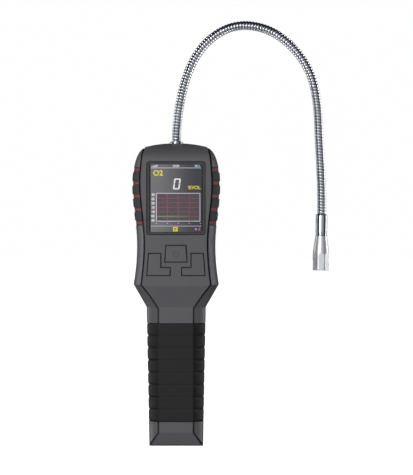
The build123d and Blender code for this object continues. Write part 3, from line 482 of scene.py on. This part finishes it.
class GASDET_OT_keys(bpy.types.Operator):
    """Power key with its sign, the two lower keys, and the lamp"""
    bl_idname = "gasdet.keys"
    bl_label = "Keys"

    def execute(self, context):
        s = context.scene.gasdet_casing
        low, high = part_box("power_key")
        middle = (low + high) / 2 / MM

        def power_sign(g, shade):
            """A ring that is open at the top, with a bar in the gap. On the ring, the distance
            sqrt(x^2 + z^2) from the sign's middle is its radius."""
            radius = 1.9
            x = g.axis("X") - middle.x
            z = g.axis("Z") - (middle.z - 0.2)
            away = (x * x + z * z).maths("SQRT")
            gap = g.stripe(x, centre=0.0, half=0.75, soft=0.1) * g.fade(z, 0.0, 0.2)
            ring = g.stripe(away, centre=radius, half=0.22, soft=0.15) * (1.0 - gap)
            across = g.stripe(x, centre=0.0, half=0.2, soft=0.12)
            bar = across * g.stripe(z, centre=1.6, half=0.9, soft=0.15)
            return g.mix(ring.maths("MAXIMUM", bar) * 0.55, shade, opaque(tint("1c1b1d")))

        edge = s.edge / MM
        paint(("power_key",), moulded("power_key_paint", s.grey, 0.5, 0.03, 0.4, edge, 0.0, power_sign))
        paint(("left_key", "right_key"), moulded("key_paint", s.grey, 0.5, 0.03, 0.4, edge))
        paint(("key_mat",), moulded("mat_paint", tint("8f9195"), 0.6, 0.02, 0.6, 0.2))
        g = material("lamp_paint")
        paint(("status_lamp",), g.surface({
            "Base Color": g.mix(g.noise(0.6), opaque(tint("5a5b60")), opaque(tint("8a8c92"))),
            "Roughness": 0.12 + 0.1 * g.noise(0.4),
            "Transmission Weight": 0.4,
            "Coat Weight": 0.6,
        }))
        return {"FINISHED"}


class GASDET_OT_screen(bpy.types.Operator):
    """Bezel, glass, and the picture on the display"""
    bl_idname = "gasdet.screen"
    bl_label = "Screen"

    def execute(self, context):
        s = context.scene.gasdet_screen
        paint(("screen_bezel",), moulded("bezel_paint", tint("3a383b"), 0.4, 0.02, 0.35, 0.2))
        g = material("glass_paint")
        paint(("screen_glass",), g.surface({
            "Base Color": (0.01, 0.01, 0.012, 1.0),
            "Roughness": 0.02 + 0.03 * g.noise(6.0),
            "Alpha": 0.1 + 0.02 * g.noise(14.0),
            "IOR": 1.5,
        }))
        low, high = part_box("display_panel")
        middle = (low + high) / 2 / MM
        foot = low.z / MM + 0.2
        g = material("display_paint")
        x = g.axis("X") - middle.x
        z = g.axis("Z") - foot
        across = g.fade(x, -19.0, 17.0)
        shade = g.mix(across, opaque(s.light_side), opaque(s.dark_side))
        dot_pitch = 0.3
        dot_x = g.stripe((x / dot_pitch).maths("FRACT"), centre=0.5, half=0.42, soft=0.08)
        dot_z = g.stripe((z / dot_pitch).maths("FRACT"), centre=0.5, half=0.42, soft=0.08)
        shade = g.mix(0.82 + 0.18 * (dot_x * dot_z), opaque(tint("101012")), shade)
        lit_x = g.stripe(x, centre=0.0, half=18.3, soft=0.05)
        lit = lit_x * g.stripe(z, centre=24.5, half=24.4, soft=0.05)
        paint(("display_panel",), g.surface({
            "Base Color": opaque(tint("060607")),
            "Roughness": 0.25,
            "Emission Color": g.mix(lit, (0.002, 0.002, 0.002, 1.0), shade),
            "Emission Strength": s.glow,
        }))
        inks = [("white", s.white), ("yellow", s.yellow), ("lavender", s.lavender), ("blue", s.blue),
                ("pink", s.pink), ("green", s.green), ("red", s.grid), ("dark", tint("2a2820")),
                ("plot_ground", s.plot)]
        finishes = []
        for name, colour in inks:
            g = material("ink_" + name)
            right = g.fade(g.axis("X") - middle.x, -10.0, 18.0)
            end = 0.25 if name == "green" else 0.85
            finishes.append(g.surface({
                "Base Color": opaque(colour, 0.1),
                "Roughness": 0.4,
                "Emission Color": g.mix(right, opaque(colour), opaque(colour, end)),
                "Emission Strength": s.glow,
            }))
        white, yellow, lavender, blue, pink, green, red, dark, plot_ground = range(9)
        boxes = [(lavender, -18.2, 46.2, 18.2, 46.55), (lavender, -18.2, 4.2, 18.2, 4.5)]
        boxes += [(green, -14.0, 10.7, 10.0, 11.8)]
        boxes += [(lavender, -17.6 + 0.9 * k, 47.0, -17.0 + 0.9 * k, 47.5 + 0.3 * k) for k in range(5)]
        boxes += [(lavender, -14.4, 7.7, 17.5, 8.15), (lavender, -14.4, 27.8, 17.5, 28.25),
                  (lavender, -14.4, 8.15, -13.95, 27.8), (lavender, 17.05, 8.15, 17.5, 27.8)]
        boxes += [(red, -13.9, 8.0 + 3.3 * k - 0.12, 17.0, 8.0 + 3.3 * k + 0.12) for k in range(1, 6)]
        boxes += [(red, -14.2 + 7.9 * k - 0.14, 8.2, -14.2 + 7.9 * k + 0.14, 27.75) for k in range(1, 4)]
        boxes += [(blue, 13.4, 47.0, 13.6, 48.6), (blue, 16.6, 47.0, 16.8, 48.6),
                  (blue, 13.4, 48.4, 16.8, 48.6), (blue, 13.4, 47.0, 16.8, 47.2),
                  (blue, 16.8, 47.4, 17.2, 48.2), (blue, 13.8, 47.4, 15.7, 48.2)]
        boxes += [(white, -14.4 + 7.9 * k, 6.1, -13.9 + 7.9 * k, 6.6) for k in range(5)]
        boxes += [(pink, 13.8, 1.3, 14.9, 2.9), (pink, 16.4, 1.2, 16.65, 3.0), (pink, 17.0, 0.8, 17.25, 3.4)]
        boxes += [(yellow, -2.2, 0.5, 1.2, 1.3), (yellow, -2.2, 1.3, -1.3, 3.7), (yellow, 0.3, 1.3, 1.2, 3.7),
                  (yellow, -1.3, 2.9, 0.3, 3.7), (yellow, -0.8, 1.7, 0.3, 2.3), (dark, -1.3, 1.3, 0.3, 1.7)]
        ground = (plot_ground, -13.9, 8.2, 17.0, 27.75)
        boxes += [ground]
        digit_foot = 31.3
        digit_slant = 0.13
        digit = [(white, -2.3, digit_foot, -1.2, 34.55), (white, -2.3, 35.05, -1.2, 38.3),
                 (white, 1.5, digit_foot, 2.6, 34.55), (white, 1.5, 35.05, 2.6, 38.3),
                 (white, -1.9, 30.8, 2.2, 31.8), (white, -1.9, 37.8, 2.2, 38.8)]
        boxes += digit
        drawing = bmesh.new()
        points, faces = flat_boxes([box[1:] for box in boxes], 0.0)
        points[-len(digit):, :, 0] += digit_slant * (points[-len(digit):, :, 2] - digit_foot * MM)
        points[boxes.index(ground), :, 1] = 0.01 * MM
        sheet = bpy.data.meshes.new("boxes")
        sheet.from_pydata(points.reshape(-1, 3).tolist(), [], faces.tolist())
        sheet.polygons.foreach_set("material_index", np.array([box[0] for box in boxes], np.int32))
        drawing.from_mesh(sheet)
        bpy.data.meshes.remove(sheet)
        words = [(yellow, "O2", 5.4, -16.6, 40.9), (yellow, "%VOL", 3.5, 8.6, 31.0)]
        words += [(white, "12:30", 2.2, -2.6, 47.1)]
        words += [(white, f"{30 - 5 * k:02d}", 2.3, -17.8, 26.3 - 3.1 * k) for k in range(7)]
        for ink, text, size, x_left, z_foot in words:
            curve = bpy.data.curves.new("word", "FONT")
            curve.body = text
            curve.size = size * MM
            curve.offset = 0.03 * size * MM
            curve.resolution_u = 3
            holder = bpy.data.objects.new("word", curve)
            bpy.context.scene.collection.objects.link(holder)
            bpy.context.view_layer.update()
            letters = bpy.data.meshes.new_from_object(holder)
            upright = Matrix.Rotation(math.pi / 2, 4, "X")
            letters.transform(Matrix.Translation(Vector((x_left, 0.0, z_foot)) * MM) @ upright)
            inked = np.full(len(letters.polygons), ink, np.int32)
            letters.polygons.foreach_set("material_index", inked)
            drawing.from_mesh(letters)
            bpy.data.objects.remove(holder)
            bpy.data.curves.remove(curve)
            bpy.data.meshes.remove(letters)
        picture = bpy.data.meshes.new("screen_picture")
        drawing.to_mesh(picture)
        drawing.free()
        picture.transform(Matrix.Translation((middle.x * MM, low.y - 0.02 * MM, foot * MM)))
        for finish in finishes:
            picture.materials.append(finish)
        piece = bpy.data.objects.new("screen_picture", picture)
        bpy.context.scene.collection.objects.link(piece)
        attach(piece, "casing")
        return {"FINISHED"}


class GASDET_OT_inside(bpy.types.Operator):
    """Boards, cell, leads, screws and the other fittings"""
    bl_idname = "gasdet.inside"
    bl_label = "Fittings and inside"

    def execute(self, context):
        steel = polished("steel_paint", tint("a9aaad"), 0.3, 0.5, (1.0, 1.0, 6.0), 0.01)
        paint(("case_screws", "board_screws", "display_tray", "vibration_motor", "charge_socket", "neck_nut",
               "gas_sensor"), steel)
        g = material("board_paint")
        tracks = g.stripe((g.axis("X") / 1.4).maths("FRACT"), centre=0.5, half=0.2, soft=0.05)
        pads = g.fade(g.noise(2.2, 1.0), 0.5, 0.53)
        shade = g.mix(tracks * pads, opaque(tint("1d5a36")), opaque(tint("3c8a5a")))
        paint(("main_board", "key_board", "charge_board", "sensor_board"), g.surface({
            "Base Color": shade,
            "Roughness": 0.3 + 0.2 * pads,
            "Coat Weight": 0.4,
            "Normal": g.bump(tracks, 0.03),
        }))
        paint(("board_chips", "buzzer"), moulded("chip_paint", tint("17171a"), 0.3, 0.01, 0.5, 0.15))
        paint(("board_plugs",), moulded("plug_paint", tint("ded9cc"), 0.5, 0.01, 0.4, 0.15))
        paint(("battery_cradle",), moulded("cradle_paint", tint("26272a"), 0.6, 0.03, 0.5, 0.3))
        wire_red = moulded("lead_paint", tint("a5261f"), 0.5, 0.01, 0.4, 0.1, 0.2)
        paint(("battery_lead", "sensor_lead"), wire_red)
        g = material("cell_paint")
        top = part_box("battery_cell")[1].z / MM
        ends = g.fade(g.axis("Z"), top - 1.6, top - 1.4)
        shade = g.mix(g.noise(8.0, 3.0), opaque(tint("2c5f8e")), opaque(tint("34699a")))
        paint(("battery_cell",), g.surface({
            "Base Color": g.mix(ends, shade, opaque(tint("b5b6b8"))),
            "Metallic": ends,
            "Roughness": 0.3 + 0.15 * g.noise(3.0, 3.0),
            "Coat Weight": 0.3,
        }))
        return {"FINISHED"}


class GASDET_OT_neck(bpy.types.Operator):
    """Gooseneck winding, in one piece for each joint that it crosses"""
    bl_idname = "gasdet.neck"
    bl_label = "Gooseneck"

    def execute(self, context):
        s = context.scene.gasdet_neck
        g = material("winding_paint")
        fall = g.node("ShaderNodeAttribute", {"attribute_name": "fall"}, {}, "Fac")
        # Partly grime and partly painted shade: darker down in the grooves between turns, where fall is high.
        grime_and_shade = g.fade(fall + 0.15 * g.noise(1.5, 3.0), 0.6, 1.05)
        chrome = g.surface({
            "Base Color": g.mix(grime_and_shade, opaque(s.metal), opaque(s.metal, 0.28)),
            "Metallic": 1.0,
            "Roughness": 0.1 + 0.1 * g.noise(4.0, 4.0) + 0.2 * grime_and_shade,
            "Normal": g.bump(g.noise(0.6, 3.0), 0.004),
        })
        collar_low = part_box("neck_collar")[0]
        mouth_low, mouth_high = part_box("ferrule")
        joints = [j for j in frame["joints"] if j["name"].startswith("neck_")]
        hinges = np.array([j["pos_m"] for j in joints])
        start = [0.0, 0.0, collar_low.z + 0.3 * MM]
        end = list((mouth_low + mouth_high) / 2)
        turning = [j["pos_m"] for j in joints if j["name"].startswith("neck_bend")]
        stops, line = smooth_line([start] + turning + [end], s.pitch / 10)
        rings, fall = wound_rings(stops, line, s.radius, s.pitch, s.groove, s.around)
        marks = np.concatenate([[start], hinges, [end]])
        middles = (marks[1:] + marks[:-1]) / 2
        near = np.linalg.norm(line[None, :, :] - middles[:, None, :], axis=2).argmin(1)
        for k, joint in enumerate(joints):
            first = 0 if k == 0 else near[k]
            last = len(line) - 1 if k == len(joints) - 1 else near[k + 1]
            piece = closed_tube(f"neck_winding_{k + 1:02d}", rings[first:last + 1], [chrome])
            shade = np.concatenate([fall[first:last + 1].ravel(), [0.5, 0.5]]).astype(np.float32)
            piece.data.attributes.new("fall", "FLOAT", "POINT").data.foreach_set("value", shade)
            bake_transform(piece)
            stood_for = ["neck_root"] if k == 0 else [f"neck_link_{k:02d}"]
            if k == len(joints) - 1:
                stood_for.append("neck_tail")
            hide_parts(*stood_for)
        plated = polished("ferrule_paint", tint("a8abb1"), 0.2, 0.6, (1.0, 1.0, 0.2), 0.003, 0.3)
        paint(("neck_collar", "ferrule"), plated)
        return {"FINISHED"}


class GASDET_OT_probe(bpy.types.Operator):
    """Sensor cap and its filter mesh"""
    bl_idname = "gasdet.probe"
    bl_label = "Sensor head"

    def execute(self, context):
        s = context.scene.gasdet_neck
        satin = polished("cap_paint", s.silver, 0.42, 0.35, (1.0, 1.0, 0.15), 0.01, 0.25, 0.8)
        paint(("sensor_cap",), satin)
        g = material("filter_paint")
        wire_pitch = 0.35
        weave_x = (g.axis("X") * (2 * math.pi / wire_pitch)).maths("SINE")
        weave_y = (g.axis("Y") * (2 * math.pi / wire_pitch)).maths("SINE")
        wires = weave_x.maths("MAXIMUM", weave_y) * 0.5 + 0.5
        paint(("filter_mesh",), g.surface({
            "Base Color": g.mix(wires, opaque(tint("202022")), opaque(tint("9a9a9c"))),
            "Metallic": 1.0,
            "Roughness": 0.6 - 0.25 * wires,
            "Normal": g.bump(wires, 0.08),
        }))
        return {"FINISHED"}


def soft_box(name, place, aim, width, height, power):
    """A rectangular area light at place, turned towards aim."""
    lamp = bpy.data.lights.new(name, "AREA")
    lamp.shape = "RECTANGLE"
    lamp.size, lamp.size_y = width, height
    lamp.energy = power
    holder = bpy.data.objects.new(name, lamp)
    bpy.context.scene.collection.objects.link(holder)
    holder.location = place
    holder.rotation_euler = (Vector(aim) - Vector(place)).to_track_quat("-Z", "Y").to_euler()


class GASDET_OT_studio(bpy.types.Operator):
    """Backdrop, soft lights and the camera"""
    bl_idname = "gasdet.studio"
    bl_label = "Studio"

    def execute(self, context):
        s = context.scene.gasdet_studio
        side = 25
        marks = np.linspace(-12, 12, side)
        x, y = np.meshgrid(marks, marks)
        points = np.stack([x, y, np.full_like(x, -0.2 * MM)], -1)
        row = np.arange(side - 1)[:, None] * side + np.arange(side - 1)
        faces = np.stack([row, row + 1, row + side + 1, row + side], -1).reshape(-1, 4)
        g = material("paper_paint")
        fibre = g.noise(3.0, 3.0)
        paper = g.surface({
            "Base Color": g.mix(fibre, opaque(s.paper, 0.985), opaque(s.paper)),
            "Roughness": 0.8,
            "Emission Color": opaque(s.paper),
            "Emission Strength": 1.25,
        })
        floor = skin("floor", points, faces.tolist(), [paper])
        floor.visible_glossy = False
        floor.visible_diffuse = False
        world = bpy.data.worlds.new("studio")
        context.scene.world = world
        g = Graph(world)
        way = g.node("ShaderNodeTexCoord", output="Generated")
        forward = g.node("ShaderNodeSeparateXYZ", {}, {0: way}, "Y")
        upward = g.node("ShaderNodeSeparateXYZ", {}, {0: way}, "Z")
        front = g.fade(forward, -0.5, -0.95)
        below = g.fade(upward, -0.5, -0.95)
        behind = g.fade(forward, 0.75, 0.98) * 0.35
        light = front.maths("MAXIMUM", below * 0.8).maths("MAXIMUM", behind)
        sky = g.mix(light, (0.025, 0.03, 0.042, 1.0), (0.92, 0.94, 0.98, 1.0))
        seen = g.node("ShaderNodeLightPath", output="Is Camera Ray")
        glow = g.node("ShaderNodeBackground", {}, {0: sky, 1: s.front})
        page = g.node("ShaderNodeBackground", {}, {0: opaque(s.paper), 1: 1.1})
        both = g.node("ShaderNodeMixShader", {}, {0: seen, 1: glow, 2: page})
        g.node("ShaderNodeOutputWorld", {}, {"Surface": both})
        aim = (0.03, 0.0, 0.15)
        soft_box("main_light", (-0.7, -1.6, 0.4), aim, 0.8, 0.8, s.power)
        soft_box("left_strip", (-1.2, 0.35, 0.2), aim, 0.35, 1.3, s.power * 0.5)
        soft_box("right_strip", (1.2, 0.35, 0.2), aim, 0.35, 1.3, s.power * 0.6)
        lens = bpy.data.cameras.new("camera")
        lens.lens = s.lens
        lens.sensor_width = 36.0
        lens.clip_end = 20.0
        camera = bpy.data.objects.new("camera", lens)
        context.scene.collection.objects.link(camera)
        camera.location = s.eye
        camera.rotation_euler = (math.pi / 2, 0.0, 0.0)
        context.scene.camera = camera
        context.scene.view_settings.view_transform = "Standard"
        return {"FINISHED"}


OPERATORS = (GASDET_OT_casing, GASDET_OT_keys, GASDET_OT_screen, GASDET_OT_inside, GASDET_OT_neck,
             GASDET_OT_probe, GASDET_OT_studio)


class GASDET_PT_panel(bpy.types.Panel):
    """Settings and steps of the gas detector's looks"""
    bl_idname = "GASDET_PT_panel"
    bl_label = "Gas detector"
    bl_space_type = "VIEW_3D"
    bl_region_type = "UI"
    bl_category = "Gas detector"

    def draw(self, context):
        for group in ("gasdet_casing", "gasdet_screen", "gasdet_neck", "gasdet_studio"):
            settings = getattr(context.scene, group)
            for key in settings.__annotations__:
                self.layout.prop(settings, key)
        for operator in OPERATORS:
            self.layout.operator(operator.bl_idname)


def register():
    """Makes the settings, steps and panel known to Blender."""
    for one in SETTINGS + OPERATORS + (GASDET_PT_panel,):
        bpy.utils.register_class(one)
    bpy.types.Scene.gasdet_casing = bpy.props.PointerProperty(type=CasingSettings)
    bpy.types.Scene.gasdet_screen = bpy.props.PointerProperty(type=ScreenSettings)
    bpy.types.Scene.gasdet_neck = bpy.props.PointerProperty(type=NeckSettings)
    bpy.types.Scene.gasdet_studio = bpy.props.PointerProperty(type=StudioSettings)


def unregister():
    """Takes them out again."""
    for name in ("gasdet_casing", "gasdet_screen", "gasdet_neck", "gasdet_studio"):
        delattr(bpy.types.Scene, name)
    for one in reversed(SETTINGS + OPERATORS + (GASDET_PT_panel,)):
        bpy.utils.unregister_class(one)


def main():
    """Runs every step."""
    register()
    bpy.ops.gasdet.studio()
    bpy.ops.gasdet.casing()
    bpy.ops.gasdet.keys()
    bpy.ops.gasdet.screen()
    bpy.ops.gasdet.inside()
    bpy.ops.gasdet.neck()
    bpy.ops.gasdet.probe()


if __name__ == "__main__":
    main()
